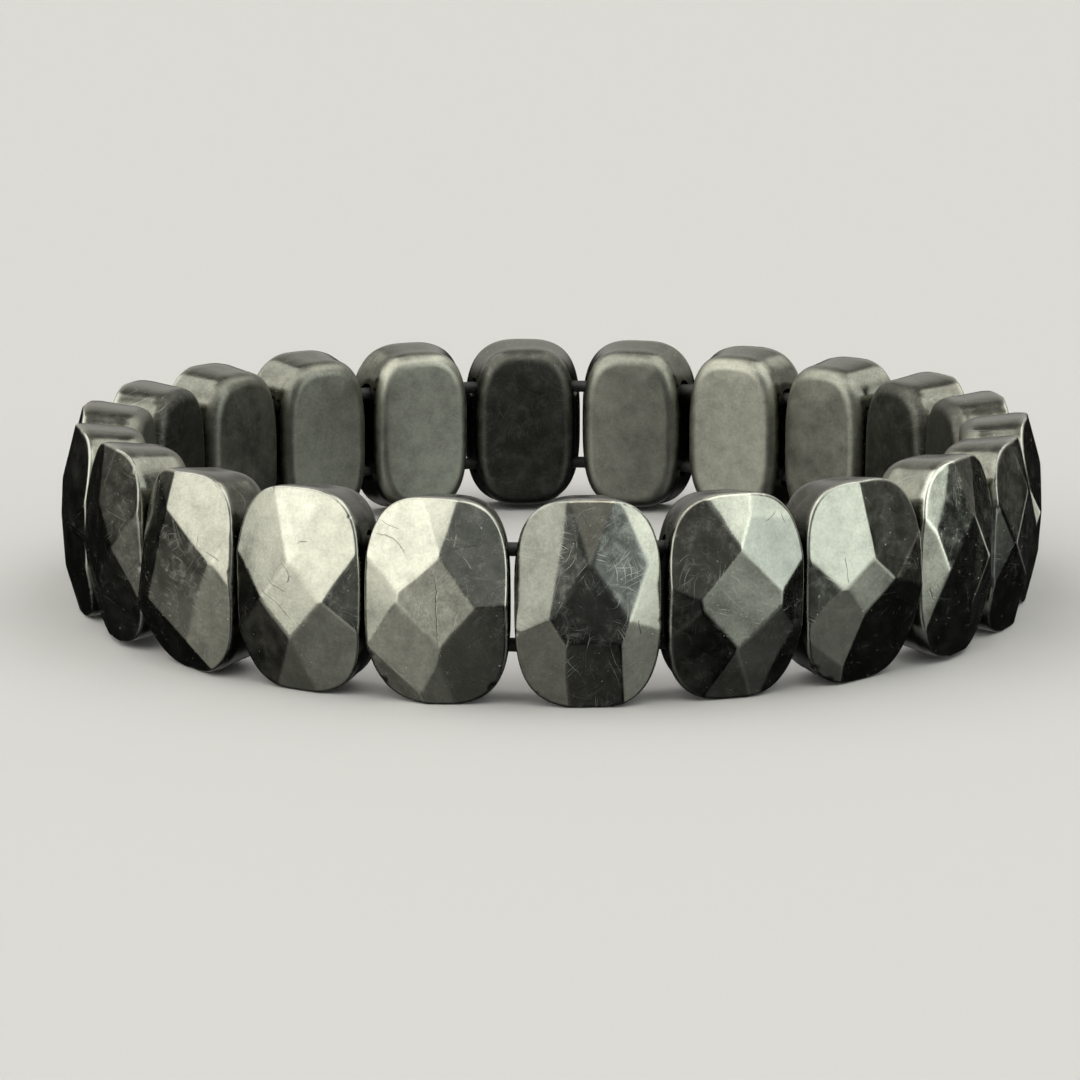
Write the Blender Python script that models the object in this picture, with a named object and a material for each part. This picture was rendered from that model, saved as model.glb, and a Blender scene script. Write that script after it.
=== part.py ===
"""Stretch bracelet of faceted shungite plate beads on two elastic cords.

The beads stand upright in a closed ring, their faceted faces outwards. Every
bead is a tapered plate: a rounded face with a straight girdle, side walls that
draw in towards the wrist, and a smaller flat back. The face is ground to a
central rhombus, a kite between each pair of its corners, and a steep wing off
each corner. Two holes run through the side walls, one for each cord.

Bead coordinates are (u, v, w) in millimetres: u along the ring, v up, and w
outwards from the girdle. The table face stands on the ground at z = 0.
"""
import math
import random

import bmesh
import bpy
from mathutils import Vector

MM = 0.001

# Ring
BEAD_COUNT = 22
FACE_RADIUS = 29.35                  # ring axis to the girdle plane of a bead
FIRST_ANGLE = math.radians(4.0)      # bead 1, measured from -Y towards +X

# Bead
BEAD_WIDTH = 8.1
BEAD_HEIGHT = 11.6
OUTLINE_POINTS = 28
OUTLINE_POWER = 3.1                  # 2 is an ellipse, higher is squarer
GIRDLE_DEPTH = 0.6                   # straight part of the wall behind w = 0
BACK_DEPTH = 4.0                     # girdle plane to the flat back
SHOULDER_DEPTH = 3.2                 # where the wall turns into the back
SHOULDER_WIDTH = 6.75
SHOULDER_HEIGHT = 10.9
BACK_WIDTH = 5.6
BACK_HEIGHT = 9.8
CROWN_MARGIN = 2.2                   # blank left above the girdle for grinding

# Stringing
HOLE_OFFSET = 2.7                    # above and below the middle of the bead
HOLE_DEPTH = 2.0                     # behind the girdle plane
HOLE_DIAMETER = 1.4
CORD_DIAMETER = 0.8
CORNER_EASE = 0.28                   # half length of the bend between two beads

# Facets. The corners of the rhombus and the marks where a wing meets the
# outline are (u, v). "edge" is the height that the four kites reach at the
# rounded corners of the outline, in the order upper left, upper right, lower
# right, lower left. "lean" is the slope of the rhombus along u and v. A flat is
# one more plane through three points of the ground surface, each of which may
# give a third number, the depth that it is taken down there.
COMMON_CUT = {
    "crown": 1.0,
    "lean": (0.0, 0.0),
    "top": (0.0, 2.6), "right": (2.3, 0.0), "bottom": (0.0, -2.7), "left": (-2.3, 0.0),
    "edge": (-0.3, -0.3, -0.3, -0.3),
    "top_wing": ((-1.1, 5.8), (1.2, 5.8)), "right_wing": ((3.9, 2.1), (3.9, -2.0)),
    "bottom_wing": ((1.1, -5.8), (-1.0, -5.8)), "left_wing": ((-3.9, -2.1), (-3.9, 2.2)),
    "flats": [],
    "lift": 0.0,
}
CUTS = {
    # long rhombus cut off below, side wings swept up to the top
    1: {
        "top": (0.0, 2.3), "right": (2.15, -0.8), "bottom": (0.75, -5.2), "left": (-2.2, -0.6),
        "edge": (-0.35, -0.2, -0.2, -0.25),
        "top_wing": ((-1.0, 5.7), (1.4, 5.7)), "right_wing": ((3.95, 3.9), (3.95, -1.6)),
        "bottom_wing": None, "left_wing": ((-3.95, -1.5), (-1.3, 5.7)),
        "flats": [
            ((-1.3, -2.0), (1.7, -2.1), (-1.1, -5.7)),
            ((3.3, 2.3), (1.7, 5.7), (3.4, 4.7, 0.25)),
        ],
    },
    2: {
        "top": (-0.1, 2.9), "right": (2.7, 0.0), "bottom": (-0.3, -2.7), "left": (-2.7, 0.05),
        "top_wing": ((-1.8, 5.5), (1.2, 5.7)), "right_wing": None,
        "bottom_wing": ((1.0, -5.8), (-1.7, -5.4)), "left_wing": None,
        "flats": [
            ((2.3, 0.4), (2.3, -0.4), (3.9, 2.0)),
            ((-2.5, 0.3), (-2.35, -0.35), (-3.9, 0.9)),
            ((3.6, -1.8), (1.6, -5.3), (3.2, -4.6, 0.2)),
        ],
    },
    # small rhombus on the left, one kite right across the top
    3: {
        "lean": (0.1, 0.0),
        "top": (-0.1, 1.6), "right": (1.5, 0.2), "bottom": (-0.7, -1.7), "left": (-2.0, 0.0),
        "edge": (-0.5, -0.1, -0.4, -0.2),
        "top_wing": None, "right_wing": ((3.9, 2.6), (4.0, -0.6)),
        "bottom_wing": None, "left_wing": ((-3.95, -2.1), (-3.95, 1.8)),
        "flats": [((-4.0, -2.6), (-2.3, -4.0), (-3.4, -4.8, 0.3))],
    },
    4: {
        "top": (0.2, 2.4), "right": (2.1, -0.2), "bottom": (0.1, -2.9), "left": (-2.25, -0.4),
        "edge": (0.1, -0.3, -0.3, 0.05),
        "left_wing": ((-3.8, -3.9), (-3.9, 3.7)),
        "flats": [((-3.2, 1.9), (-1.3, 5.7), (-3.5, 4.7, 0.2))],
        "lift": 0.25,
    },
    22: {
        "top": (0.4, 2.7), "right": (2.5, 0.0), "bottom": (0.4, -2.4), "left": (-2.45, 0.3),
        "edge": (-0.2, -0.25, -0.4, 0.2),
        "top_wing": ((-1.0, 5.8), (1.4, 5.7)), "right_wing": None,
        "bottom_wing": None, "left_wing": None,
        "flats": [
            ((-2.0, 0.7), (-3.9, 2.4), (-3.8, -2.5)),
            ((-3.8, -2.5), (-0.9, -5.0), (-3.1, -4.6, 0.45)),
            ((-0.1, -3.7), (-0.8, -5.1), (0.9, -5.5)),
        ],
    },
    21: {
        "top": (0.1, 1.7), "right": (2.1, -0.3), "bottom": (0.1, -2.6), "left": (-1.95, -0.45),
        "top_wing": ((-1.6, 5.6), (1.6, 5.6)), "right_wing": ((3.95, 2.4), (3.95, -2.0)),
        "bottom_wing": ((1.2, -5.8), (-1.5, -5.7)), "left_wing": ((-3.95, -2.6), (-3.9, 1.8)),
    },
    # rhombus drawn out to the lower left, no wing on the right
    20: {
        "lean": (-0.1, 0.0),
        "top": (-0.5, 3.6), "right": (2.9, 0.95), "bottom": (0.75, -3.75), "left": (-2.2, -1.7),
        "edge": (-0.4, -0.35, 0.1, -0.3),
        "top_wing": ((-2.6, 4.9), (-0.3, 5.8)), "right_wing": ((3.95, 3.0), (3.95, -0.3)),
        "bottom_wing": ((2.4, -5.3), (-1.0, -5.8)), "left_wing": None,
    },
    19: {
        "top": (0.3, 2.5), "right": (2.0, 0.2), "bottom": (0.2, -2.6), "left": (-2.0, -0.2),
        "right_wing": ((3.9, 2.5), (3.9, -2.8)),
        "lift": 0.25,
    },
}
WOBBLE = 0.3                         # how far the hand-ground corners wander

STONE_COLOR = (0.13, 0.13, 0.125, 1.0)
CORD_COLOR = (0.02, 0.02, 0.02, 1.0)


def clear_scene():
    for item in list(bpy.data.objects):
        bpy.data.objects.remove(item, do_unlink=True)


def make_material(name, color, metallic, roughness):
    material = bpy.data.materials.new(name)
    material.use_nodes = True
    shader = material.node_tree.nodes["Principled BSDF"]
    shader.inputs["Base Color"].default_value = color
    shader.inputs["Metallic"].default_value = metallic
    shader.inputs["Roughness"].default_value = roughness
    material.diffuse_color = color
    return material


def outline(width, height):
    """Rounded rectangle with a short flat at the middle of every side."""
    points = []
    for i in range(OUTLINE_POINTS):
        turn = 2 * math.pi * (i + 0.5) / OUTLINE_POINTS
        c = math.cos(turn)
        s = math.sin(turn)
        u = math.copysign(abs(c) ** (2 / OUTLINE_POWER), c)
        v = math.copysign(abs(s) ** (2 / OUTLINE_POWER), s)
        points.append((u, v))
    u_max = max(p[0] for p in points)
    v_max = max(p[1] for p in points)
    return [(p[0] / u_max * width / 2, p[1] / v_max * height / 2) for p in points]


def height_on(plane, u, v):
    """Height w of a facet plane above the point (u, v)."""
    point, normal = plane
    return point.z - ((u - point.x) * normal.x + (v - point.y) * normal.y) / normal.z


def plane_through(a, b, c):
    a = Vector(a)
    normal = (Vector(b) - a).cross(Vector(c) - a).normalized()
    if normal.z < 0:
        normal.negate()
    return a, normal


def facet_planes(cut):
    """Rhombus, four kites and up to four wings that meet at its corners."""
    crown = cut["crown"]
    lean_u, lean_v = cut["lean"]
    tips = []
    for side in ("top", "right", "bottom", "left"):
        u, v = cut[side]
        tips.append(Vector((u, v, crown + lean_u * u + lean_v * v)))
    top, right, bottom, left = tips
    corners = ((-3.3, 4.7), (3.3, 4.7), (3.3, -4.7), (-3.3, -4.7))
    heights = cut["edge"]
    upper_left = plane_through(left, top, (*corners[0], heights[0]))
    upper_right = plane_through(top, right, (*corners[1], heights[1]))
    lower_right = plane_through(right, bottom, (*corners[2], heights[2]))
    lower_left = plane_through(bottom, left, (*corners[3], heights[3]))
    planes = [plane_through(top, left, right)]
    planes += [upper_left, upper_right, lower_right, lower_left]
    wings = (
        ("top_wing", top, upper_left, upper_right),
        ("right_wing", right, upper_right, lower_right),
        ("bottom_wing", bottom, lower_right, lower_left),
        ("left_wing", left, lower_left, upper_left),
    )
    for name, tip, first_kite, second_kite in wings:
        if cut[name]:
            first, second = cut[name]
            a = (*first, height_on(first_kite, *first))
            b = (*second, height_on(second_kite, *second))
            planes.append(plane_through(tip, a, b))
    for flat in cut["flats"]:
        points = []
        for u, v, *drop in flat:
            ground = min(height_on(plane, u, v) for plane in planes)
            points.append((u, v, ground - sum(drop)))
        planes.append(plane_through(*points))
    return planes


def wander(cut, seed):
    """The common cut with its corners and wings moved a little by hand."""
    rng = random.Random(seed)

    def shift(point, reach):
        return (point[0] + rng.uniform(-reach, reach), point[1] + rng.uniform(-reach, reach))

    moved = dict(cut)
    for side in ("top", "right", "bottom", "left"):
        moved[side] = shift(cut[side], WOBBLE)
    moved["edge"] = tuple(h + rng.uniform(-0.12, 0.12) for h in cut["edge"])
    for side in ("top_wing", "bottom_wing"):
        ends = cut[side]
        moved[side] = tuple((u + rng.uniform(-0.5, 0.5), v) for u, v in ends)
    for side in ("right_wing", "left_wing"):
        ends = cut[side]
        moved[side] = tuple((u, v + rng.uniform(-0.7, 0.7)) for u, v in ends)
    return moved


def bead_blank(bm):
    """Closed plate: straight girdle, tapered wall, shoulder and flat back."""
    sections = (
        (CROWN_MARGIN, BEAD_WIDTH, BEAD_HEIGHT),
        (-GIRDLE_DEPTH, BEAD_WIDTH, BEAD_HEIGHT),
        (-SHOULDER_DEPTH, SHOULDER_WIDTH, SHOULDER_HEIGHT),
        (-BACK_DEPTH, BACK_WIDTH, BACK_HEIGHT),
    )
    rings = []
    for w, width, height in sections:
        rings.append([bm.verts.new((u, v, w)) for u, v in outline(width, height)])
    for upper, lower in zip(rings, rings[1:]):
        for i in range(OUTLINE_POINTS):
            j = (i + 1) % OUTLINE_POINTS
            bm.faces.new((upper[i], lower[i], lower[j], upper[j]))
    bm.faces.new(rings[0])
    bm.faces.new(list(reversed(rings[-1])))


def grind(bm, plane):
    """Take away everything outside the plane and close the new facet."""
    point, normal = plane
    geometry = bm.verts[:] + bm.edges[:] + bm.faces[:]
    bmesh.ops.bisect_plane(
        bm, geom=geometry, dist=0.0005, plane_co=point, plane_no=normal, clear_outer=True)
    rim = [edge for edge in bm.edges if edge.is_boundary]
    bmesh.ops.holes_fill(bm, edges=rim, sides=0)


def make_bead(number, material, drill_mesh):
    cut = dict(COMMON_CUT)
    if number in CUTS:
        cut.update(CUTS[number])
    else:
        cut = wander(cut, number)
    bm = bmesh.new()
    bead_blank(bm)
    for plane in facet_planes(cut):
        grind(bm, plane)
    bmesh.ops.remove_doubles(bm, verts=bm.verts[:], dist=0.004)
    for vert in bm.verts:
        u, v, w = vert.co
        vert.co = Vector((u, -w, v)) * MM
    bmesh.ops.recalc_face_normals(bm, faces=bm.faces[:])
    name = f"bead_{number:02d}"
    mesh = bpy.data.meshes.new(name)
    bm.to_mesh(mesh)
    bm.free()
    mesh.materials.append(material)
    bead = bpy.data.objects.new(name, mesh)
    bpy.context.collection.objects.link(bead)

    angle = FIRST_ANGLE + (number - 1) * 2 * math.pi / BEAD_COUNT
    height = BEAD_HEIGHT / 2 + cut["lift"]
    place = Vector((math.sin(angle) * FACE_RADIUS, -math.cos(angle) * FACE_RADIUS, height)) * MM
    bead.location = place
    bead.rotation_euler = (0, 0, angle)

    drill = bpy.data.objects.new(f"drill_{number:02d}", drill_mesh)
    bpy.context.collection.objects.link(drill)
    drill.location = (place.x, place.y, BEAD_HEIGHT / 2 * MM)
    drill.rotation_euler = (0, 0, angle)
    drill.display_type = "WIRE"
    drill.hide_render = True

    holes = bead.modifiers.new("cord_holes", "BOOLEAN")
    holes.operation = "DIFFERENCE"
    holes.solver = "EXACT"
    holes.object = drill
    return bead


def make_drill_mesh():
    """Two parallel rods across a bead, one for each cord."""
    bm = bmesh.new()
    for side in (1, -1):
        result = bmesh.ops.create_cone(
            bm, cap_ends=True, segments=8, radius1=HOLE_DIAMETER / 2 * MM,
            radius2=HOLE_DIAMETER / 2 * MM, depth=(BEAD_WIDTH + 2) * MM)
        for vert in result["verts"]:
            x, y, z = vert.co
            vert.co = (z, y + HOLE_DEPTH * MM, -x + side * HOLE_OFFSET * MM)
    mesh = bpy.data.meshes.new("drill")
    bm.to_mesh(mesh)
    bm.free()
    return mesh


def make_cord(name, height, material):
    """Closed loop, straight through every bead and eased round each gap."""
    radius = FACE_RADIUS - HOLE_DEPTH
    half_turn = math.pi / BEAD_COUNT
    points = []
    for i in range(BEAD_COUNT):
        angle = FIRST_ANGLE + i * 2 * half_turn
        outward = Vector((math.sin(angle), -math.cos(angle), 0))
        along = Vector((math.cos(angle), math.sin(angle), 0))
        reach = radius * math.tan(half_turn) - CORNER_EASE
        for side in (-1, 1):
            point = outward * radius + along * reach * side
            point.z = height
            points.append(point * MM)
    curve = bpy.data.curves.new(name, "CURVE")
    curve.dimensions = "3D"
    curve.bevel_depth = CORD_DIAMETER / 2 * MM
    curve.bevel_resolution = 2
    curve.use_fill_caps = True
    spline = curve.splines.new("POLY")
    spline.points.add(len(points) - 1)
    for slot, point in zip(spline.points, points):
        slot.co = (*point, 1)
    spline.use_cyclic_u = True
    curve.materials.append(material)
    cord = bpy.data.objects.new(name, curve)
    bpy.context.collection.objects.link(cord)
    return cord


def main():
    clear_scene()
    stone = make_material("shungite", STONE_COLOR, 0.6, 0.3)
    elastic = make_material("elastic", CORD_COLOR, 0.0, 0.6)
    drill_mesh = make_drill_mesh()
    for number in range(1, BEAD_COUNT + 1):
        make_bead(number, stone, drill_mesh)
    middle = BEAD_HEIGHT / 2
    make_cord("elastic_upper", middle + HOLE_OFFSET, elastic)
    make_cord("elastic_lower", middle - HOLE_OFFSET, elastic)


main()
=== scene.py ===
import math
import random

import bmesh
import bpy
import numpy as np
from mathutils import Matrix, Vector


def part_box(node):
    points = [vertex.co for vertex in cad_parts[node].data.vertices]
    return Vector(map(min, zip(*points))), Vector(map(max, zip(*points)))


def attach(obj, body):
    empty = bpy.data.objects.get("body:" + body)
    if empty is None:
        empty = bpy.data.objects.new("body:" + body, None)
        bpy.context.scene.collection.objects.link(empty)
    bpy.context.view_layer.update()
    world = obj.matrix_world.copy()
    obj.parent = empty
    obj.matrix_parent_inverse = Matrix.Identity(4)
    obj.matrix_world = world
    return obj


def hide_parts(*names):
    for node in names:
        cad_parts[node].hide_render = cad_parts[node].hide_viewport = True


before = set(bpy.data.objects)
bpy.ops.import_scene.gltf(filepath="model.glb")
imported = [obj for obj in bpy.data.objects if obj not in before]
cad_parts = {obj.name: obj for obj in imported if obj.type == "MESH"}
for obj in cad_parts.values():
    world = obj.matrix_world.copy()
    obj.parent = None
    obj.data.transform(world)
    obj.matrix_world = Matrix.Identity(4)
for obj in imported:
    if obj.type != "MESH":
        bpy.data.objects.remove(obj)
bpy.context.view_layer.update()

mm = 0.001

# where each bead stands in the ring
ring = {
    "beads": 22,
    "faceRadius": 29.35,     # ring axis to the girdle plane, mm
    "firstAngle": 4.0,       # bead 1, degrees from -Y towards +X
    "firstSeed": 900,        # bead n draws its chances from this plus n
}

# the plate behind its ground face, mm
plate = {
    "width": 8.1, "height": 11.6,
    "outlinePower": 3.1,     # 2 is an ellipse, higher is squarer
    "girdle": 0.6,
    "easing": 0.15,          # turn from the girdle into the side wall
    "wallLevels": (0.3, 0.53, 0.76),      # rings of points on the straight wall, as shares of its depth
    "shoulderDepth": 3.2, "shoulderWidth": 6.75, "shoulderHeight": 10.9,
    "backDepth": 4.0, "backWidth": 5.1, "backHeight": 9.1,
    "roundFrom": 2.5, "roundSteps": 12,
    "fullness": (0.02, 0.15, 0.05),       # how full the rounded shoulder is: depth, width, height
    "backWander": 0.07,      # the inner face is cut less evenly than the girdle
    "leastStep": 0.02,       # smallest drop from one ring of points to the next
    "sharpFrom": 38,         # edges that turn more than this stay sharp, degrees
}

# the ground face, mm
crown = {
    "cell": 0.11,            # mesh spacing
    "rimRings": (0.0, 0.012, 0.035, 0.07, 0.12, 0.19),
    "rimRadius": 0.12,
    "edgeBlend": 0.006,      # softness of the edges between facets
    "pillow": 0.010, "pillowReach": 2,    # how far a facet swells in its middle, over that radius
    "wave": 0.013, "waveSpan": 8,         # slow unevenness of a facet: height of a wave of that length
    "waveLengths": (3.2, 6.5),
    "chips": (3, 7),         # small bites out of the rim
    "chipRadius": (0.08, 0.24), "chipDepth": (0.02, 0.06), "chipSquash": (0.6, 1),
    "wornAndHighlightBelow": 0.06,       # how far down the wall the worn rim with its painted highlight reaches
}

# how the ground facets are told from the solid's other faces, and from each other
facetSearch = {
    "facing": 0.7,           # least share of the normal that points outwards
    "lowest": -1,            # mm behind the girdle plane
    "sameWay": 0.9999, "samePlane": 0.01,
    "smallest": 0.3,         # square mm
}

# two stringing holes across every bead, mm
bore = {"offset": 2.7, "depth": 2.0, "diameter": 1.4, "sides": 24, "overshoot": 2}

# finish of a facet: brightness, tint (-1 brown, 1 blue) and how scratched it is
facetFinish = {"tone": (0.88, 1.12), "tint": (-0.12, 0.12), "scratches": (0.15, 0.6)}
wallFinish = {"tint": 0.0, "scratches": 0.5}

# where the face's finish gives way to the wall's, and the wall's to the inner face's, mm
handover = {"face": 0.15, "faceSpan": 0.25, "backSpan": 0.2}

# facets that stand out, found by a point (u, v) in mm: brightness, tint and scratches; the brightness is
# partly the stone's own tone and partly painted light and shade, set per facet to lighten or darken it as
# the light would
facetsWithPaintedLight = {
    1: (
        ((-3.2, 1.0), 0.50, 0.1, 0.3), ((0.1, 5.1), 1.35, -0.4, 0.9), ((1.7, 3.0), 0.68, 0.4, 2.2),
        ((-1.1, 3.3), 0.36, 0.1, 1.7), ((0.1, -0.6), 0.85, 0.0, 2.3), ((0.5, -4.7), 0.45, 0.0, 2.2),
        ((3.6, 0.4), 1.15, 0.0, 0.4), ((3.0, 4.1), 1.1, 0.0, 0.5), ((2.9, -3.3), 1.2, 0.0, 0.5),
        ((-2.7, -3.6), 0.75, 0.0, 0.4),
    ),
    2: (
        ((2.5, 3.7), 0.85, 0.3, 0.6), ((-2.8, 3.3), 0.5, -0.3, 1.5), ((-0.1, 0.0), 0.68, 0.0, 0.7),
        ((-3.4, -0.5), 0.6, 0.0, 0.9), ((3.4, -0.2), 1.3, 0.0, 0.5), ((-0.2, 5.2), 1.6, 0.0, 0.3),
        ((-2.7, -3.6), 0.5, 0.0, 0.7), ((1.6, -3.3), 0.6, 0.0, 0.6), ((2.4, 4.8), 1.15, 0.1, 0.4),
    ),
    3: (
        ((-0.3, 0.0), 0.56, 0.0, 0.4), ((3.4, 0.9), 2.4, 0.0, 0.6), ((-2.4, -2.2), 0.78, 0.0, 0.3),
        ((-3.6, -0.1), 0.78, 0.0, 0.9),
    ),
    4: (((-3.0, 4.1), 1.9, 0.1, 0.4), ((-3.6, -0.3), 0.95, 0.0, 0.4), ((-1.5, 3.1), 2.4, 0.2, 0.7)),
    5: (((-3.7, 0.1), 0.2, 0.0, 0.5), ((0.0, 0.0), 0.25, 0.0, 0.4), ((-2.6, 3.7), 0.65, 0.0, 0.4)),
    19: (((3.6, 0.0), 0.55, 0.0, 0.5), ((2.6, 3.7), 0.6, 0.0, 0.5)),
    20: (((2.1, 4.3), 0.85, 0.0, 0.3), ((0.2, -0.2), 0.82, 0.0, 1.1)),
    21: (
        ((0.0, 4.9), 1.15, 0.0, 0.3), ((0.1, -0.4), 1.2, 0.0, 0.6), ((-2.6, 3.5), 1.15, 0.0, 0.5),
        ((3.6, 0.0), 1.5, 0.0, 1.0), ((0.0, -5.1), 0.75, 0.0, 0.5),
    ),
    22: (
        ((2.6, 3.7), 1.2, 0.0, 1.3), ((2.2, -3.8), 0.8, 0.0, 1.4), ((-3.4, -0.3), 1.05, 0.0, 0.4),
        ((-0.1, 0.2), 1.65, 0.0, 0.6), ((0.2, 5.2), 1.3, 0.0, 0.3), ((-1.2, -2.6), 1.3, 0.0, 0.5),
        ((-2.5, 3.8), 1.15, 0.0, 0.3), ((-2.6, -4.4), 2.6, 0.0, 0.4),
    ),
}

# small facets ground last, as a line on the face and the further tilt beyond it, degrees
trims = {2: ({"through": (2.4, 4.32), "towards": (0.134, 0.991), "angle": 6},)}

# painted shade on the side walls of some front beads, and painted light and shade on each inner face:
# brightness set per bead as the light would make it
wallPaintedShade = {1: 0.5, 2: 0.45, 3: 0.5, 20: 0.6, 21: 0.45, 22: 0.45}
innerPaintedLightAndShade = {7: 0.5, 8: 0.45, 9: 1.55, 10: 2.1, 11: 1.55, 12: 0.5, 13: 2.2, 14: 1.25, 15: 1.0, 16: 0.33}


def wallSize(depth):
    # width and height of the tapered wall at a depth behind the girdle plane
    share = max(0.0, (depth - plate["girdle"]) / (plate["shoulderDepth"] - plate["girdle"]))
    width = plate["width"] + (plate["shoulderWidth"] - plate["width"]) * share
    height = plate["height"] + (plate["shoulderHeight"] - plate["height"]) * share
    return width, height


def wallSections():
    # (w, width, height) from the girdle to the back
    sections = []
    for k in range(-2, 3):
        # eased turn from the straight girdle into the wall
        depth = plate["girdle"] + plate["easing"] * k
        above, level, below = (wallSize(depth + plate["easing"] * step) for step in (-1, 0, 1))
        width, height = ((a + 2 * b + c) / 4 for a, b, c in zip(above, level, below))
        sections.append((-depth, width, height))
    for share in plate["wallLevels"]:
        depth = plate["girdle"] + (plate["roundFrom"] - plate["girdle"]) * share
        sections.append((-depth, *wallSize(depth)))
    turn = plate["roundFrom"]
    start = Vector((-turn, *wallSize(turn)))
    end = Vector((-plate["backDepth"], plate["backWidth"], plate["backHeight"]))
    corner = Vector((-plate["backDepth"], plate["shoulderWidth"], plate["shoulderHeight"]))
    corner += Vector(plate["fullness"])
    for k in range(plate["roundSteps"] + 1):
        t = k / plate["roundSteps"]
        sections.append(tuple(start * (1 - t) ** 2 + corner * 2 * t * (1 - t) + end * t * t))
    return sections


def gradedSteps(size):
    # from -1 to 1 across the face, closer together at the rim
    near = [1 - 2 * d / size for d in crown["rimRings"]]
    inner = near[-1]
    count = round(inner * size / crown["cell"])
    middle = [inner - 2 * inner * k / count for k in range(1, count)]
    return np.array([-n for n in near] + [-m for m in middle] + near[::-1])


def squareToPlate(s, t):
    # a point of the square grid as a point of the rounded outline, both from -1 to 1
    power = plate["outlinePower"]
    reach = np.maximum(np.abs(s), np.abs(t))
    size = np.maximum((np.abs(s) ** power + np.abs(t) ** power) ** (1 / power), 1e-9)
    return s / size * reach, t / size * reach, reach


def beadPlace(number):
    angle = math.radians(ring["firstAngle"] + 360 / ring["beads"] * (number - 1))
    low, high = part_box(f"bead_{number:02d}")
    out = Vector((math.sin(angle), -math.cos(angle), 0))
    centre = out * ring["faceRadius"] * mm
    centre.z = (low.z + high.z) / 2
    return angle, centre


def planeHeight(plane, u, v):
    normal, middle = plane
    return middle.z - ((u - middle.x) * normal.x + (v - middle.y) * normal.y) / normal.z


def facetAt(planes, u, v):
    # the facet that shows at a point, and its height there
    heights = [planeHeight(plane, u, v) for plane in planes]
    return heights.index(min(heights)), min(heights)


def facetPlanes(number):
    # the ground facets of the solid bead, in its own u, v, w in mm
    angle, centre = beadPlace(number)
    turn = Matrix.Rotation(-angle, 3, "Z")
    found = []
    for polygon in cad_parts[f"bead_{number:02d}"].data.polygons:
        x, y, z = turn @ polygon.normal
        normal = Vector((x, z, -y))
        x, y, z = turn @ (polygon.center - centre)
        point = Vector((x, z, -y)) / mm
        area = polygon.area / mm ** 2
        if normal.z < facetSearch["facing"] or point.z < facetSearch["lowest"]:
            continue
        for facet in found:
            sameWay = normal.dot(facet[1]) > facetSearch["sameWay"]
            if sameWay and abs((point - facet[0]).dot(normal)) < facetSearch["samePlane"]:
                facet[3] += point * area
                facet[2] += area
                break
        else:
            found.append([point, normal, area, point * area])
    planes = [(facet[1], facet[3] / facet[2]) for facet in found if facet[2] > facetSearch["smallest"]]
    for trim in trims.get(number, ()):
        # tips the facet at a point over further, beyond a line through that point
        which, height = facetAt(planes, *trim["through"])
        normal = planes[which][0]
        lean = Vector((*trim["towards"], 0)).normalized() * math.tan(math.radians(trim["angle"]))
        planes.append(((normal / normal.z + lean).normalized(), Vector((*trim["through"], height))))
    return planes


def facetHeights(planes, u, v, dice):
    # one height field per facet, each a little swollen and uneven
    fields = []
    for plane in planes:
        du, dv = u - plane[1].x, v - plane[1].y
        height = planeHeight(plane, u, v)
        height = height + crown["pillow"] * (1 - (du * du + dv * dv) / crown["pillowReach"] ** 2)
        for length in crown["waveLengths"]:
            heading, phase = dice.uniform(0, math.tau), dice.uniform(0, math.tau)
            along = (du * math.cos(heading) + dv * math.sin(heading)) * math.tau / length
            height = height + np.sin(along + phase) * crown["wave"] * length / crown["waveSpan"]
        fields.append(height)
    return np.stack(fields)


def softMinimum(fields):
    # the lowest field, rounded where two meet, and the share that each facet has there
    lowest = fields.min(axis=0)
    weight = np.exp((lowest - fields) / crown["edgeBlend"])
    total = weight.sum(axis=0)
    return lowest - crown["edgeBlend"] * np.log(total), weight / total


def rimDrop(x, y, reach):
    # how far the rounded rim falls below the facets
    power, a, b = plate["outlinePower"], plate["width"] / 2, plate["height"] / 2
    safe = np.maximum(reach, 1e-6)
    px, py = np.abs(x / safe), np.abs(y / safe)
    nx, ny = px ** (power - 1) / a, py ** (power - 1) / b + 1e-9
    inward = (1 - reach) * (px * a * nx + py * b * ny) / np.hypot(nx, ny)
    radius = crown["rimRadius"]
    lack = np.clip(radius - inward, 0, radius)
    drop = radius - np.sqrt(radius ** 2 - lack ** 2)
    return np.where(reach < 0.5, 0, drop), np.where(reach < 0.5, 1, inward)


def chipRim(u, v, w, inward, dice):
    # bites out of the rim, deepest at its edge
    rim = np.flatnonzero(inward < 1e-6)
    for _ in range(dice.randint(*crown["chips"])):
        spot = rim[dice.randrange(len(rim))]
        radius = dice.uniform(*crown["chipRadius"])
        away = np.hypot((u - u[spot]) * dice.uniform(*crown["chipSquash"]), v - v[spot]) / radius
        w = w - np.clip(1 - away ** 2, 0, 1) * dice.uniform(*crown["chipDepth"])
    return w


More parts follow.
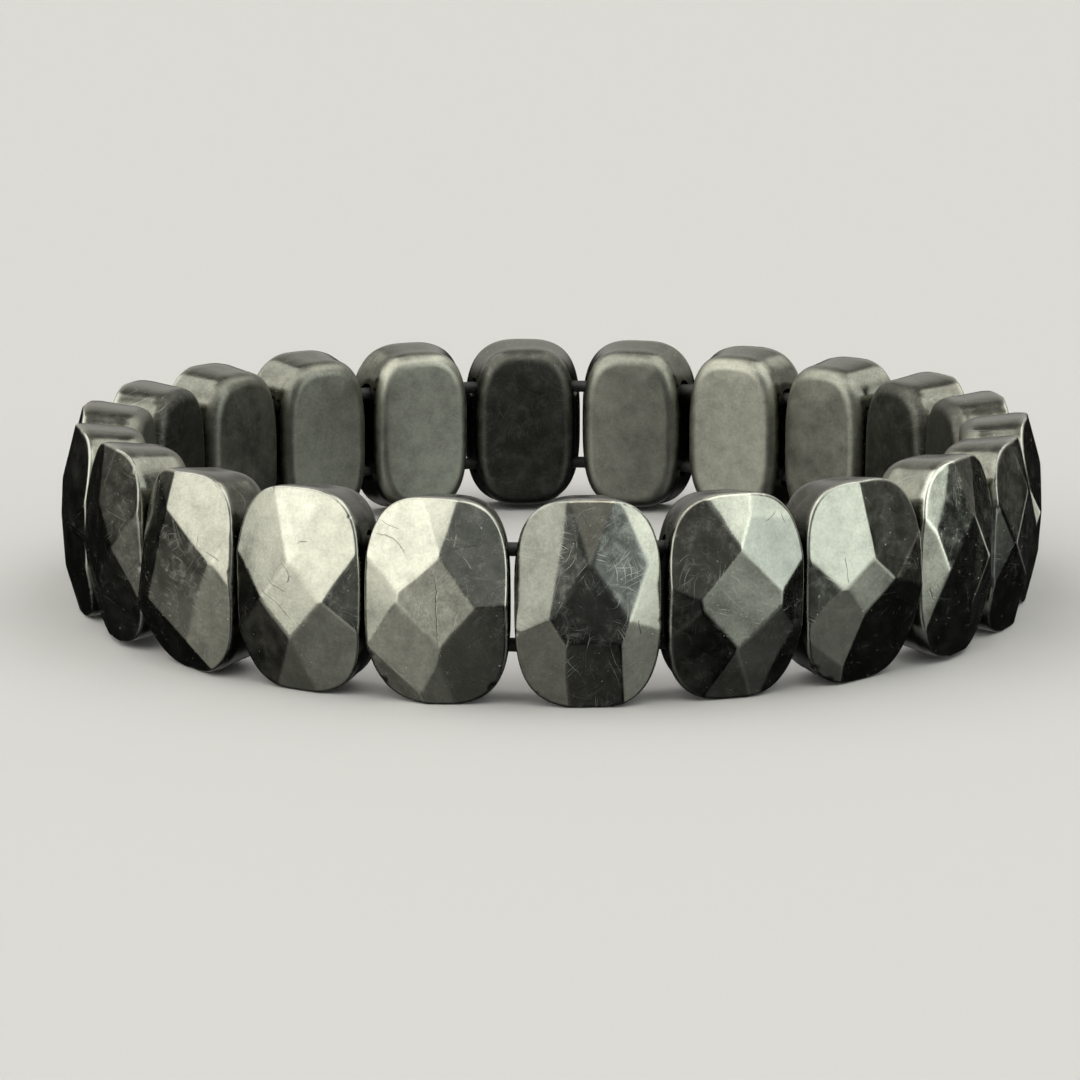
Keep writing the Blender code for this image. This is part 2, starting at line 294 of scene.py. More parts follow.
def beadMesh(number, planes, dice):
    # closed plate: ground face, rim, walls and back, as u, v, w in mm
    across, up = gradedSteps(plate["width"]), gradedSteps(plate["height"])
    columns, rows = len(across), len(up)
    s, t = np.meshgrid(across, up)
    x, y, reach = squareToPlate(s.ravel(), t.ravel())
    u, v = x * plate["width"] / 2, y * plate["height"] / 2
    w, share = softMinimum(facetHeights(planes, u, v, dice))
    drop, inward = rimDrop(x, y, reach)
    w = chipRim(u, v, w - drop, inward, dice)
    points = [np.stack([u, v, w], axis=1)]
    index = np.arange(rows * columns).reshape(rows, columns)
    faces = np.stack([index[:-1, :-1], index[:-1, 1:], index[1:, 1:], index[1:, :-1]], axis=-1)
    faces = faces.reshape(-1, 4).tolist()

    border = np.concatenate([index[0, :-1], index[:-1, -1], index[-1, :0:-1], index[:0:-1, 0]])
    rimHeight = w[border]
    upper = border
    count = rows * columns
    lean = [dice.uniform(-1, 1) * plate["backWander"] for _ in range(4)]
    sections = wallSections()
    for step, (depth, width, height) in enumerate(sections):
        share = step / (len(sections) - 1)
        wide = (width + lean[0] * share) / 2
        tall = (height + lean[1] * share) / 2
        levelU = x[border] * wide + lean[2] * share
        levelV = y[border] * tall + lean[3] * share
        levelW = np.minimum(depth, rimHeight - plate["leastStep"] * (step + 1))
        points.append(np.stack([levelU, levelV, levelW], axis=1))
        lower = count + np.arange(len(border))
        following = np.roll(np.arange(len(border)), -1)
        faces += np.stack([upper, lower, lower[following], upper[following]], axis=-1).tolist()
        upper = lower
        count += len(border)
    faces.append(upper[::-1].tolist())
    mesh = bpy.data.meshes.new("blank")
    mesh.from_pydata(toLocal(np.concatenate(points)).tolist(), [], faces)
    mesh.update()
    return mesh


def toLocal(points):
    # u, v, w in mm become x, z and -y in metres
    return np.stack([points[:, 0], -points[:, 2], points[:, 1]], axis=1) * mm


def boreMesh():
    bm = bmesh.new()
    for side in (1, -1):
        made = bmesh.ops.create_cone(
            bm, cap_ends=True, segments=bore["sides"], radius1=bore["diameter"] / 2 * mm,
            radius2=bore["diameter"] / 2 * mm, depth=(plate["width"] + bore["overshoot"]) * mm)
        for vert in made["verts"]:
            x, y, z = vert.co
            vert.co = (z, y + bore["depth"] * mm, -x + side * bore["offset"] * mm)
    mesh = bpy.data.meshes.new("boreRods")
    bm.to_mesh(mesh)
    bm.free()
    return mesh


def drilled(mesh, rods):
    # the mesh with both stringing holes cut through
    body = bpy.data.objects.new("blank", mesh)
    cutter = bpy.data.objects.new("rods", rods)
    for item in (body, cutter):
        bpy.context.scene.collection.objects.link(item)
    cut = body.modifiers.new("holes", "BOOLEAN")
    cut.operation = "DIFFERENCE"
    cut.solver = "EXACT"
    cut.object = cutter
    graph = bpy.context.evaluated_depsgraph_get()
    result = bpy.data.meshes.new_from_object(body.evaluated_get(graph))
    bpy.data.objects.remove(body)
    bpy.data.objects.remove(cutter)
    return result


def rimWearAndHighlight(u, v, below):
    # 1 on the rim between face and wall, 0 a little way from it: wear and a painted highlight along the rim
    power, a, b = plate["outlinePower"], plate["width"] / 2, plate["height"] / 2
    reach = (np.abs(u / a) ** power + np.abs(v / b) ** power) ** (1 / power)
    slope = np.hypot(np.abs(u / a) ** (power - 1) / a, np.abs(v / b) ** (power - 1) / b) + 1e-9
    inward = np.clip(1 - reach, 0, 1) / slope
    return np.clip(1 - np.maximum(inward, below - crown["wornAndHighlightBelow"]) / crown["rimRadius"], 0, 1)


def paintFinish(mesh, number, planes, dice):
    # per point: the facet's brightness, with painted light and shade on listed facets, walls and inner
    # faces, its tint and scratches, and whether it lies on wall, back or rim
    places = np.empty(len(mesh.vertices) * 3)
    mesh.vertices.foreach_get("co", places)
    places = places.reshape(-1, 3) / mm
    u, v, w = places[:, 0], places[:, 2], -places[:, 1]
    lowest, share = softMinimum(np.stack([planeHeight(plane, u, v) for plane in planes]))
    looks = [[dice.uniform(*spread) for spread in facetFinish.values()] for _ in planes]
    # painted light and shade: the listed facets take brightness values that stand in for how bright the
    # light makes them
    for point, *look in facetsWithPaintedLight.get(number, ()):
        looks[facetAt(planes, *point)[0]] = look
    face = np.clip(1 + (w - lowest + handover["face"]) / handover["faceSpan"], 0, 1)
    # painted shade: the walls of some front beads are darkened
    wallLook = np.array([wallPaintedShade.get(number, 1.0), wallFinish["tint"], wallFinish["scratches"]])
    values = share.T @ np.array(looks)
    values = values * face[:, None] + wallLook * (1 - face[:, None])
    back = np.clip((-w - plate["shoulderDepth"]) / handover["backSpan"], 0, 1)
    # painted light and shade: each inner face's brightness is set per bead
    values[:, 0] = values[:, 0] * (1 - back) + innerPaintedLightAndShade.get(number, 1.0) * back
    # the first layer holds the stone's tone together with painted light and shade, and the rim layer holds
    # wear with a painted highlight
    layers = {
        "facetToneAndPaintedLight": values[:, 0], "facetTint": values[:, 1], "facetScratches": values[:, 2],
        "wallShare": 1 - face, "backShare": back, "rimWearAndHighlight": rimWearAndHighlight(u, v, lowest - w),
        "beadNumber": np.full(len(u), number),
    }
    for name, data in layers.items():
        layer = mesh.attributes.new(name, "FLOAT", "POINT")
        layer.data.foreach_set("value", data.astype(np.float32))


def makeBead(number, rods, stone):
    dice = random.Random(ring["firstSeed"] + number)
    planes = facetPlanes(number)
    mesh = drilled(beadMesh(number, planes, dice), rods)
    mesh.name = f"beadStone_{number:02d}"
    paintFinish(mesh, number, planes, dice)
    mesh.shade_smooth()
    mesh.materials.clear()
    mesh.materials.append(stone)
    mesh.set_sharp_from_angle(angle=math.radians(plate["sharpFrom"]))

    piece = bpy.data.objects.new(f"stone_{number:02d}", mesh)
    bpy.context.scene.collection.objects.link(piece)
    angle, centre = beadPlace(number)
    piece.location = centre
    piece.rotation_euler = (0, 0, angle)
    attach(piece, "root")
    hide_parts(f"bead_{number:02d}")
    return piece


# node helpers: a value is a number, a colour or another node's output, and the result is one
# of the node's outputs, or all of them where output is None
def addNode(tree, kind, inputs=None, output=0, **settings):
    made = tree.nodes.new(kind)
    for key, value in settings.items():
        setattr(made, key, value)
    for key, value in (inputs or {}).items():
        if isinstance(value, bpy.types.NodeSocket):
            tree.links.new(value, made.inputs[key])
        else:
            made.inputs[key].default_value = value
    return made.outputs if output is None else made.outputs[output]


def maths(tree, operation, a, b=0.0, c=0.0):
    return addNode(tree, "ShaderNodeMath", {0: a, 1: b, 2: c}, operation=operation)


def remap(tree, value, low, high, toLow=0.0, toHigh=1.0, smooth=False):
    kind = "SMOOTHSTEP" if smooth else "LINEAR"
    return addNode(
        tree, "ShaderNodeMapRange",
        {"Value": value, "From Min": low, "From Max": high, "To Min": toLow, "To Max": toHigh},
        interpolation_type=kind)


def product(tree, first, *others):
    total = first
    for value in others:
        total = maths(tree, "MULTIPLY", total, value)
    return total


def largest(tree, first, *others):
    total = first
    for value in others:
        total = maths(tree, "MAXIMUM", total, value)
    return total


def mixValues(tree, share, first, second):
    return addNode(tree, "ShaderNodeMix", {0: share, 2: first, 3: second})


def mixColours(tree, share, first, second, kind="MIX"):
    return addNode(
        tree, "ShaderNodeMix", {0: share, 6: first, 7: second}, output=2, data_type="RGBA", blend_type=kind)


def tinted(tree, colour, factor, share=1.0):
    return mixColours(tree, share, colour, factor, "MULTIPLY")


def vectors(tree, operation, a, b):
    return addNode(tree, "ShaderNodeVectorMath", {0: a, 1: b}, operation=operation)


def scaled(tree, vector, factor):
    return addNode(tree, "ShaderNodeVectorMath", {0: vector, "Scale": factor}, operation="SCALE")


def axes(tree, vector):
    return addNode(tree, "ShaderNodeSeparateXYZ", {0: vector}, output=None)[:3]


def turned(tree, vector, degrees):
    return addNode(
        tree, "ShaderNodeVectorRotate", {"Vector": vector, "Angle": math.radians(degrees)},
        rotation_type="Z_AXIS")


def channels(tree, colour):
    return addNode(tree, "ShaderNodeSeparateColor", {0: colour}, output=None)[:3]


def noise(tree, where, scale, detail=2.0, roughness=0.5, output=0):
    return addNode(
        tree, "ShaderNodeTexNoise",
        {"Vector": where, "Scale": scale, "Detail": detail, "Roughness": roughness}, output=output)


def cells(tree, where, scale, **settings):
    # distance to the nearest cell's point, and the cell's own colour
    return addNode(
        tree, "ShaderNodeTexVoronoi", {"Vector": where, "Scale": scale}, output=None, **settings)[:2]


def attributeValue(tree, name):
    return addNode(tree, "ShaderNodeAttribute", output=2, attribute_name=name)


def surface(name):
    # a new material with its node tree and its shader
    material = bpy.data.materials.new(name)
    material.use_nodes = True
    return material, material.node_tree, material.node_tree.nodes["Principled BSDF"]


def bumped(tree, shader, height):
    # height in metres
    bump = addNode(tree, "ShaderNodeBump", {"Height": height, "Distance": 1.0, "Strength": 1.0})
    tree.links.new(bump, shader.inputs["Normal"])


# the stone: a metallic carbon rock, ground and handled
stoneLook = {
    "dark": (0.25, 0.253, 0.213, 1), "pale": (0.42, 0.425, 0.352, 1), "crystalShare": 0.36,
    "brown": (1.12, 0.98, 0.86, 1), "blue": (0.86, 1.0, 1.14, 1),
    "wallBrightness": 0.5,
    "faceRoughness": 0.165, "wallRoughness": 0.17, "backRoughness": 0.42, "roughnessSpread": 0.08,
    "patternSpread": 400,    # mm from one bead's place in the pattern to another's, at most
}

# handling marks on the stone
markLook = {
    "colour": (0.60, 0.61, 0.57, 1), "roughness": 0.55,
    "scratchStrength": 0.8, "hairlineStrength": 0.4,
    "rubbedStrength": 0.2, "rubbedMost": 1.1, "rubbedRoughness": 0.42, "rubbedCover": 0.6,
    "rimWearAndHighlightStrength": 0.65, "rimRoughness": 0.40,
    "crackColour": (0.06, 0.06, 0.055, 1), "crackStrength": 0.55, "crackCells": 0.24, "crackBend": 0.5,
    "pitCells": 5.5, "pitShare": 0.03, "pitMetal": 0.4, "pitRagged": 9.0, "pitRaggedReach": 0.22,
}

# noises in the stone: scale per mm, detail and roughness
stoneNoise = {
    "handling": (0.35, 3.0, 0.6), "rubbed": (1.5, 5.0, 0.65), "rim": (1.1, 3.0), "crackRuns": (0.45, 1.0),
    "clouds": (0.9, 4.0, 0.6), "crystal": (6.0, 3.0, 0.65), "waves": (0.33, 1.0),
}

# the values between which a noise or a distance fades in, and for some what it runs from and to
fade = {
    "handling": (0.38, 0.58, 0.25, 1.0), "rubbed": (0.48, 0.70), "rim": (0.36, 0.58, 0.15, 1.0),
    "crackRuns": (0.63, 0.66), "crack": (0.005, 0.0015), "pit": (0.24, 0.10),
    "pitsWhereScratched": (0.0, 1.2, 0.3, 1.0), "mottle": (0.34, 0.66), "roughness": (0.35, 0.65),
}

# relief of the stone, metres
relief = {
    "waves": 0.000014, "clouds": 0.0000035, "crystal": 0.0000008, "worn": -0.0000022, "cracks": -0.000006,
}

# layers of handling scratches: cell length and spacing in mm, how far they bend, width of a
# scratch as a share of its cell, share of cells that hold one, turn in degrees, and strength
scratchLayers = (
    {"length": 11.0, "bend": 1.4, "spacing": 0.12, "width": 0.17,
     "share": 0.17, "turn": 12, "strength": 0.9},
    {"length": 9.0, "bend": -1.8, "spacing": 0.11, "width": 0.17,
     "share": 0.17, "turn": 58, "strength": 0.8},
    {"length": 8.0, "bend": 2.0, "spacing": 0.11, "width": 0.17,
     "share": 0.16, "turn": 97, "strength": 0.8},
    {"length": 6.0, "bend": -1.7, "spacing": 0.10, "width": 0.19,
     "share": 0.16, "turn": -37, "strength": 0.8},
    {"length": 4.4, "bend": 2.2, "spacing": 0.09, "width": 0.20,
     "share": 0.12, "turn": 133, "strength": 0.7},
    {"length": 3.4, "bend": -2.4, "spacing": 0.09, "width": 0.22,
     "share": 0.11, "turn": 79, "strength": 0.7},
    {"length": 2.2, "bend": 1.6, "spacing": 0.11, "width": 0.22,
     "share": 0.10, "turn": 24, "strength": 0.9},
)
scratchShape = {
    "bendScale": 0.33,       # of the slow noise that bends them, per mm
    "core": 0.25,            # share of a scratch's width that has its full strength
    "faintest": 0.2,         # strength of the faintest scratch, as a share of its layer's
}


def scratchMask(tree, plane):
    # many thin tapering strokes, each layer bent in its own way by a slow noise
    bends = channels(tree, noise(tree, plane, scratchShape["bendScale"], 1.0, output=1))
    faintest = scratchShape["faintest"]
    strokes = []
    for number, layer in enumerate(scratchLayers):
        bend = maths(tree, "MULTIPLY_ADD", bends[number % 3], layer["bend"], -layer["bend"] / 2)
        along, across, _ = axes(tree, turned(tree, plane, layer["turn"]))
        along = maths(tree, "DIVIDE", along, layer["length"])
        across = maths(tree, "DIVIDE", maths(tree, "ADD", across, bend), layer["spacing"])
        place = addNode(tree, "ShaderNodeCombineXYZ", {0: along, 1: across})
        distance, chance = cells(tree, place, 1.0, voronoi_dimensions="2D")
        pick, weight, _ = channels(tree, chance)
        stroke = remap(tree, distance, layer["width"], layer["width"] * scratchShape["core"])
        chosen = maths(tree, "LESS_THAN", pick, layer["share"])
        least = layer["strength"] * faintest
        strength = maths(tree, "MULTIPLY_ADD", weight, layer["strength"] - least, least)
        strokes.append(product(tree, stroke, chosen, strength))
    return largest(tree, *strokes)


# faint polishing lines: heading in degrees and sway of each direction, and the stretch of its noise
hairline = {
    "directions": ((15, 1.6), (68, -2.2), (122, 1.9)),
    "swayScale": (0.4, 0.5, 0.6), "stretch": (0.7, 13.0, 1.0), "lines": (0.56, 0.74),
    "patchScale": 0.8, "patches": (0.46, 0.60),
}


def fineHairlines(tree, plane):
    # each direction shows in its own patches and slowly turns
    found = []
    for (heading, sway), swayScale in zip(hairline["directions"], hairline["swayScale"]):
        lying = turned(tree, plane, heading)
        slow = maths(tree, "MULTIPLY", noise(tree, lying, swayScale, 1.0), sway)
        bent = vectors(tree, "ADD", lying, addNode(tree, "ShaderNodeCombineXYZ", {1: slow}))
        stretched = vectors(tree, "MULTIPLY", bent, hairline["stretch"])
        lines = remap(tree, noise(tree, stretched, 1.0, 2.0, 0.6), *hairline["lines"])
        patches = remap(tree, noise(tree, lying, hairline["patchScale"], 1.0), *hairline["patches"])
        found.append(product(tree, lines, patches))
    return largest(tree, *found)


# single grooves by bead: middle (u, v) and length in mm, heading in degrees, and bow
grooves = {
    21: (
        {"middle": (-0.7, -0.7), "turn": -38, "length": 2.6, "bow": 0.10},
        {"middle": (-0.9, 0.3), "turn": -27, "length": 1.5, "bow": -0.16},
        {"middle": (0.7, 2.9), "turn": 12, "length": 0.8, "bow": 0.5},
    ),
    22: (
        {"middle": (-2.35, 3.45), "turn": -28, "length": 2.5, "bow": 0.26},
        {"middle": (0.24, -0.4), "turn": 91, "length": 4.4, "bow": 0.0},
    ),
}
grooveShape = {
    "reach": 0.035, "core": 0.3,          # mm to each side of the middle, and the full-strength share
    "fullTo": 0.3,                        # share of the length, from the middle, before the end fades
    "wander": 0.3, "wanderScale": 1.6,
}


def grooveMask(tree, where, spot):
    shape = grooveShape
    u, _, v = axes(tree, where)
    wander = noise(tree, spot, shape["wanderScale"])
    wander = maths(tree, "MULTIPLY_ADD", wander, shape["wander"], -shape["wander"] / 2)
    bead = attributeValue(tree, "beadNumber")
    strokes = []
    for number, marks in grooves.items():
        here = maths(tree, "COMPARE", bead, float(number), 0.1)
        for mark in marks:
            cosine, sine = math.cos(math.radians(mark["turn"])), math.sin(math.radians(mark["turn"]))
            du = maths(tree, "SUBTRACT", u, mark["middle"][0])
            dv = maths(tree, "SUBTRACT", v, mark["middle"][1])
            along = maths(tree, "MULTIPLY_ADD", du, cosine, product(tree, dv, sine))
            across = maths(tree, "MULTIPLY_ADD", dv, cosine, product(tree, du, -sine))
            across = maths(tree, "ADD", across, product(tree, along, along, mark["bow"]))
            across = maths(tree, "ABSOLUTE", maths(tree, "ADD", across, wander))
            line = remap(tree, across, shape["reach"], shape["reach"] * shape["core"])
            ends = remap(
                tree, maths(tree, "ABSOLUTE", along), mark["length"] / 2, mark["length"] * shape["fullTo"])
            strokes.append(product(tree, line, ends, here))
    return largest(tree, *strokes)


def stoneNoiseAt(tree, spot, name):
    return noise(tree, spot, *stoneNoise[name])


def patchesOf(tree, spot, name):
    return remap(tree, stoneNoiseAt(tree, spot, name), *fade[name])


def pitMask(tree, spot, scratched):
    # pale crushed specks
    ragged = scaled(tree, noise(tree, spot, markLook["pitRagged"], output=1), markLook["pitRaggedReach"])
    ragged = vectors(tree, "ADD", spot, ragged)
    distance, chance = cells(tree, ragged, markLook["pitCells"])
    chosen = maths(tree, "LESS_THAN", channels(tree, chance)[1], markLook["pitShare"])
    fewer = remap(tree, scratched, *fade["pitsWhereScratched"])
    return product(tree, remap(tree, distance, *fade["pit"]), chosen, fewer)


def crackMask(tree, spot):
    # hairline cracks: short runs along the borders of large cells
    bent = vectors(tree, "ADD", spot, noise(tree, spot, markLook["crackBend"], output=1))
    border, _ = cells(tree, bent, markLook["crackCells"], feature="DISTANCE_TO_EDGE")
    return product(tree, remap(tree, border, *fade["crack"]), patchesOf(tree, spot, "crackRuns"))


def shungite():
    look, mark = stoneLook, markLook
    material, tree, shader = surface("shungite")
    where = scaled(tree, addNode(tree, "ShaderNodeTexCoord", output=3), 1 / mm)
    seed = product(tree, addNode(tree, "ShaderNodeObjectInfo", output=5), look["patternSpread"])
    spot = vectors(tree, "ADD", where, seed)
    across, _, up = axes(tree, spot)
    plane = addNode(tree, "ShaderNodeCombineXYZ", {0: across, 1: up})
    tone = attributeValue(tree, "facetToneAndPaintedLight")
    tint = attributeValue(tree, "facetTint")
    scratched = attributeValue(tree, "facetScratches")
    wall = attributeValue(tree, "wallShare")
    back = attributeValue(tree, "backShare")
    clouds = stoneNoiseAt(tree, spot, "clouds")
    crystal = stoneNoiseAt(tree, spot, "crystal")

    hairlines = product(tree, fineHairlines(tree, plane), mark["hairlineStrength"])
    scratches = largest(tree, scratchMask(tree, plane), hairlines)
    scratches = product(tree, scratches, patchesOf(tree, spot, "handling"), scratched)
    rubbed = product(
        tree, patchesOf(tree, spot, "rubbed"), maths(tree, "MINIMUM", scratched, mark["rubbedMost"]))
    pits = pitMask(tree, spot, scratched)
    worn = largest(tree, scratches, pits)
    # worn rim with a painted highlight: a pale line along the rim's edge
    rimWearAndHighlightMask = product(tree, attributeValue(tree, "rimWearAndHighlight"), patchesOf(tree, spot, "rim"))
    cracks = largest(tree, crackMask(tree, spot), grooveMask(tree, where, spot))
    cracks = product(tree, cracks, remap(tree, back, 0.0, 1.0, 1.0, 0.0))

    # colour: mottled stone, its facet's brightness, which carries painted light and shade, and tint, then
    # the marks, among them the rim's painted highlight
    share = look["crystalShare"]
    mottle = maths(tree, "MULTIPLY_ADD", crystal, share, product(tree, clouds, 1 - share))
    colour = mixColours(tree, remap(tree, mottle, *fade["mottle"]), look["dark"], look["pale"])
    # painted light and shade: this brightness lightens or darkens whole facets, walls and inner faces
    colour = tinted(tree, colour, tone)
    colour = tinted(tree, colour, look["brown"], product(tree, maths(tree, "MINIMUM", tint, 0.0), -1.0))
    colour = tinted(tree, colour, look["blue"], maths(tree, "MAXIMUM", tint, 0.0))
    colour = tinted(tree, colour, remap(tree, wall, 0.0, 1.0, 1.0, look["wallBrightness"]))
    marks = largest(
        tree, product(tree, scratches, mark["scratchStrength"]), pits,
        product(tree, rubbed, mark["rubbedStrength"]), product(tree, rimWearAndHighlightMask, mark["rimWearAndHighlightStrength"]))
    colour = mixColours(tree, marks, colour, mark["colour"])
    colour = mixColours(tree, product(tree, cracks, mark["crackStrength"]), colour, mark["crackColour"])
    tree.links.new(colour, shader.inputs["Base Color"])
    tree.links.new(remap(tree, pits, 0.0, 1.0, 1.0, mark["pitMetal"]), shader.inputs["Metallic"])

    rough = remap(tree, wall, 0.0, 1.0, look["faceRoughness"], look["wallRoughness"])
    rough = mixValues(tree, back, rough, look["backRoughness"])
    half = look["roughnessSpread"] / 2
    rough = maths(tree, "ADD", rough, remap(tree, clouds, *fade["roughness"], -half, half))
    rough = mixValues(tree, product(tree, rubbed, mark["rubbedCover"]), rough, mark["rubbedRoughness"])
    rough = mixValues(tree, rimWearAndHighlightMask, rough, mark["rimRoughness"])
    rough = mixValues(tree, worn, rough, mark["roughness"])
    tree.links.new(rough, shader.inputs["Roughness"])

    height = product(tree, stoneNoiseAt(tree, spot, "waves"), relief["waves"])
    for value, name in ((clouds, "clouds"), (crystal, "crystal"), (worn, "worn"), (cracks, "cracks")):
        height = maths(tree, "MULTIPLY_ADD", value, relief[name], height)
    bumped(tree, shader, height)
    return material


cord = {
    "dark": (0.018, 0.018, 0.018, 1), "pale": (0.05, 0.05, 0.048, 1),
    "fibreNoise": (5200.0, 2.0, 0.6),     # scale per m, detail and roughness
    "gloss": (0.3, 0.7, 0.45, 0.65),      # noise from and to, roughness from and to
    "fibre": 0.00002, "weld": 0.00001,
}


def elasticCord():
    material, tree, shader = surface("elasticCord")
    fibres = noise(tree, addNode(tree, "ShaderNodeTexCoord", output=3), *cord["fibreNoise"])
    tree.links.new(mixColours(tree, fibres, cord["dark"], cord["pale"]), shader.inputs["Base Color"])
    tree.links.new(remap(tree, fibres, *cord["gloss"]), shader.inputs["Roughness"])
    bumped(tree, shader, product(tree, fibres, cord["fibre"]))
    for name in ("elastic_upper", "elastic_lower"):
        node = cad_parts[name]
        node.data.materials.clear()
        node.data.materials.append(material)
        weld = node.modifiers.new("weld", "WELD")
        weld.merge_threshold = cord["weld"]
        for polygon in node.data.polygons:
            polygon.use_smooth = True


# the camera stands in front of the ring; lengths in metres, angles in degrees
viewpoint = {
    "distance": 0.22607, "elevation": 11.17, "height": 0.00585,
    "aimSide": -0.0007, "aimDrop": 0.00253,
    "lens": 120.3, "sensor": 36, "nearest": 0.01, "farthest": 200,
}

studio = {
    "floorSize": 60.0, "floorColour": (0.54, 0.537, 0.528, 1), "floorRoughness": 0.9, "floorGloss": 0.1,
    "horizonColour": (0.625, 0.62, 0.60, 1),
    "ambient": 0.007,        # light from where no panel is
}

# soft light panels round the object. "faces" is the middle azimuth from the camera's side
# towards +X, "half" half the width, "bottom" and "top" the elevations where the light grows and
# fades, "slant" how far the panel's near edge leans with height, all in degrees
panels = (
    {"name": "highLeft", "faces": -82, "half": 62, "edge": 14, "bottom": (30, 50), "top": (66, 84),
     "slant": 0, "light": 1.8, "colour": (1.0, 0.99, 0.95)},
    {"name": "highRight", "faces": 86, "half": 62, "edge": 14, "bottom": (30, 50), "top": (66, 84),
     "slant": 0, "light": 1.8, "colour": (1.0, 0.99, 0.95)},
    {"name": "zenith", "faces": 0, "half": 200, "edge": 10, "bottom": (40, 75), "top": (200, 201),
     "slant": 0, "light": 0.45, "colour": (1.0, 0.98, 0.93)},
    {"name": "highFront", "faces": 2, "half": 22, "edge": 14, "bottom": (28, 42), "top": (64, 84),
     "slant": 0, "light": 0.6, "colour": (1.0, 0.99, 0.94)},
    {"name": "left", "faces": -56, "half": 23, "edge": 7, "bottom": (-18, -9), "top": (28, 46),
     "slant": 1.2, "light": 1.6, "colour": (1.0, 0.99, 0.94)},
    {"name": "leftUpper", "faces": -52, "half": 25, "edge": 8, "bottom": (-6, 14), "top": (28, 46),
     "slant": 0, "light": 0.8, "colour": (1.0, 0.99, 0.96)},
    {"name": "right", "faces": 59, "half": 15.5, "edge": 9, "bottom": (-15.5, -6.5), "top": (28, 46),
     "slant": 0, "light": 1.95, "colour": (0.95, 1.0, 0.97)},
    {"name": "lowLeft", "faces": -55, "half": 27, "edge": 16, "bottom": (-64, -22), "top": (-16, -8),
     "slant": 0, "light": 0.38, "colour": (1.0, 0.99, 0.95)},
    {"name": "lowRight", "faces": 56, "half": 16, "edge": 12, "bottom": (-58, -24), "top": (-16, -6),
     "slant": 0, "light": 0.30, "colour": (0.97, 1.0, 0.98)},
    {"name": "front", "faces": 6, "half": 28, "edge": 10, "bottom": (-24, 14), "top": (24, 42),
     "slant": 0, "light": 0.24, "colour": (0.95, 0.98, 1.0)},
    {"name": "lowFront", "faces": -10, "half": 14, "edge": 12, "bottom": (-75, -40), "top": (-30, -20),
     "slant": 0, "light": 0.16, "colour": (1.0, 0.99, 0.96)},
    {"name": "lowRear", "faces": 180, "half": 25, "edge": 15, "bottom": (-70, -40), "top": (-36, -22),
     "slant": 0, "light": 0.16, "colour": (1.0, 0.99, 0.96)},
    {"name": "rear", "faces": 180, "half": 78, "edge": 16, "bottom": (-2, 13), "top": (32, 62),
     "slant": 0, "light": 0.6, "colour": (1.0, 0.98, 0.92)},
)


def placeCamera():
    rise = math.radians(viewpoint["elevation"])
    centre = Vector((0, 0, viewpoint["height"]))
    back = Vector((0, -math.cos(rise), math.sin(rise)))
    up = Vector((0, math.sin(rise), math.cos(rise)))
    place = centre + back * viewpoint["distance"]
    aim = centre + Vector((viewpoint["aimSide"], 0, 0)) - up * viewpoint["aimDrop"]
    data = bpy.data.cameras.new("camera")
    data.lens = viewpoint["lens"]
    data.sensor_width = viewpoint["sensor"]
    data.clip_start = viewpoint["nearest"]
    data.clip_end = viewpoint["farthest"]
    camera = bpy.data.objects.new("camera", data)
    camera.location = place
    camera.rotation_euler = (aim - place).to_track_quat("-Z", "Y").to_euler()
    bpy.context.scene.collection.objects.link(camera)
    bpy.context.scene.camera = camera


def layFloor():
    half = studio["floorSize"] / 2
    mesh = bpy.data.meshes.new("floor")
    corners = [(-half, -half, 0), (half, -half, 0), (half, half, 0), (-half, half, 0)]
    mesh.from_pydata(corners, [], [(0, 1, 2, 3)])
    floor = bpy.data.objects.new("floor", mesh)
    bpy.context.scene.collection.objects.link(floor)
    material, tree, shader = surface("floorPaper")
    shader.inputs["Base Color"].default_value = studio["floorColour"]
    shader.inputs["Roughness"].default_value = studio["floorRoughness"]
    shader.inputs["Specular IOR Level"].default_value = studio["floorGloss"]
    mesh.materials.append(material)
    floor.visible_glossy = False


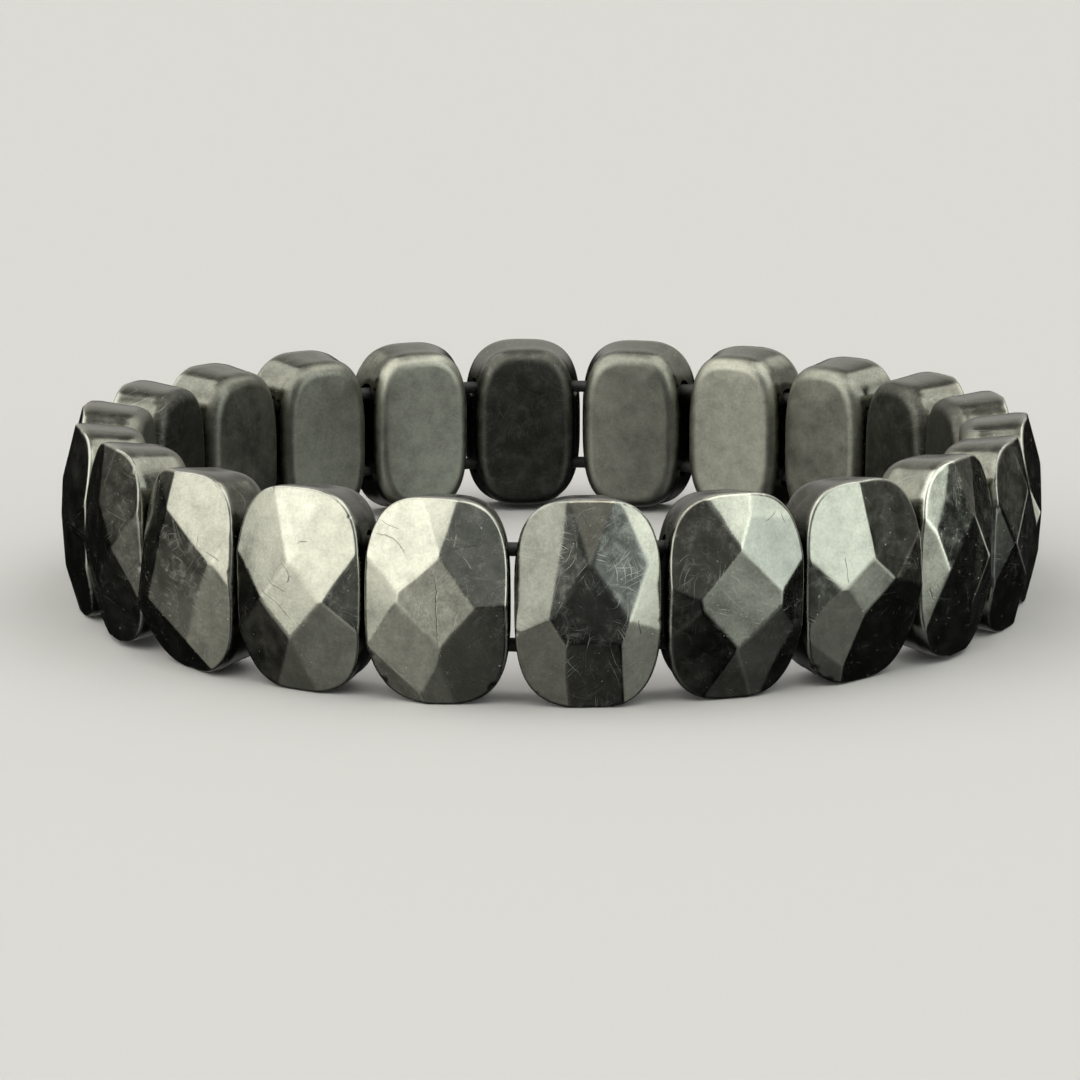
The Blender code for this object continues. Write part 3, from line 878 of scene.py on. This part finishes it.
def panelLight(tree, azimuth, elevation, panel):
    leaning = maths(tree, "MULTIPLY_ADD", elevation, panel["slant"], azimuth) if panel["slant"] else azimuth
    near = maths(tree, "WRAP", maths(tree, "SUBTRACT", leaning, panel["faces"]), 180.0, -180.0)
    far = maths(tree, "WRAP", maths(tree, "SUBTRACT", azimuth, panel["faces"]), 180.0, -180.0)
    half, edge = panel["half"], panel["edge"]
    share = product(
        tree, remap(tree, near, -half - edge, -half, smooth=True),
        remap(tree, far, half, half + edge, 1.0, 0.0, True),
        remap(tree, elevation, *panel["bottom"], smooth=True),
        remap(tree, elevation, *panel["top"], 1.0, 0.0, True), panel["light"])
    return scaled(tree, panel["colour"], share)


def lightStudio():
    world = bpy.data.worlds.new("studio")
    bpy.context.scene.world = world
    world.use_nodes = True
    world.cycles.sampling_method = "NONE"
    tree = world.node_tree
    tree.nodes.clear()
    x, y, z = axes(tree, addNode(tree, "ShaderNodeTexCoord", output=0))
    azimuth = maths(tree, "DEGREES", maths(tree, "ARCTAN2", x, product(tree, y, -1.0)))
    elevation = maths(tree, "DEGREES", maths(tree, "ARCSINE", z))
    light = addNode(tree, "ShaderNodeCombineXYZ", {side: studio["ambient"] for side in range(3)})
    for panel in panels:
        light = vectors(tree, "ADD", light, panelLight(tree, azimuth, elevation, panel))
    soft = addNode(tree, "ShaderNodeBackground", {"Color": light, "Strength": 1.0})
    plain = addNode(tree, "ShaderNodeBackground", {"Color": studio["horizonColour"], "Strength": 1.0})
    seen = addNode(tree, "ShaderNodeLightPath", output=0)
    both = addNode(tree, "ShaderNodeMixShader", {0: seen, 1: soft, 2: plain})
    out = tree.nodes.new("ShaderNodeOutputWorld")
    tree.links.new(both, out.inputs["Surface"])


placeCamera()
print("camera placed")
layFloor()
lightStudio()
bpy.context.scene.view_settings.view_transform = "Standard"
print("studio ready")

stone = shungite()
rods = boreMesh()
for number in range(1, ring["beads"] + 1):
    makeBead(number, rods, stone)
print("beads cut and ground")
elasticCord()
print("elastic finished")
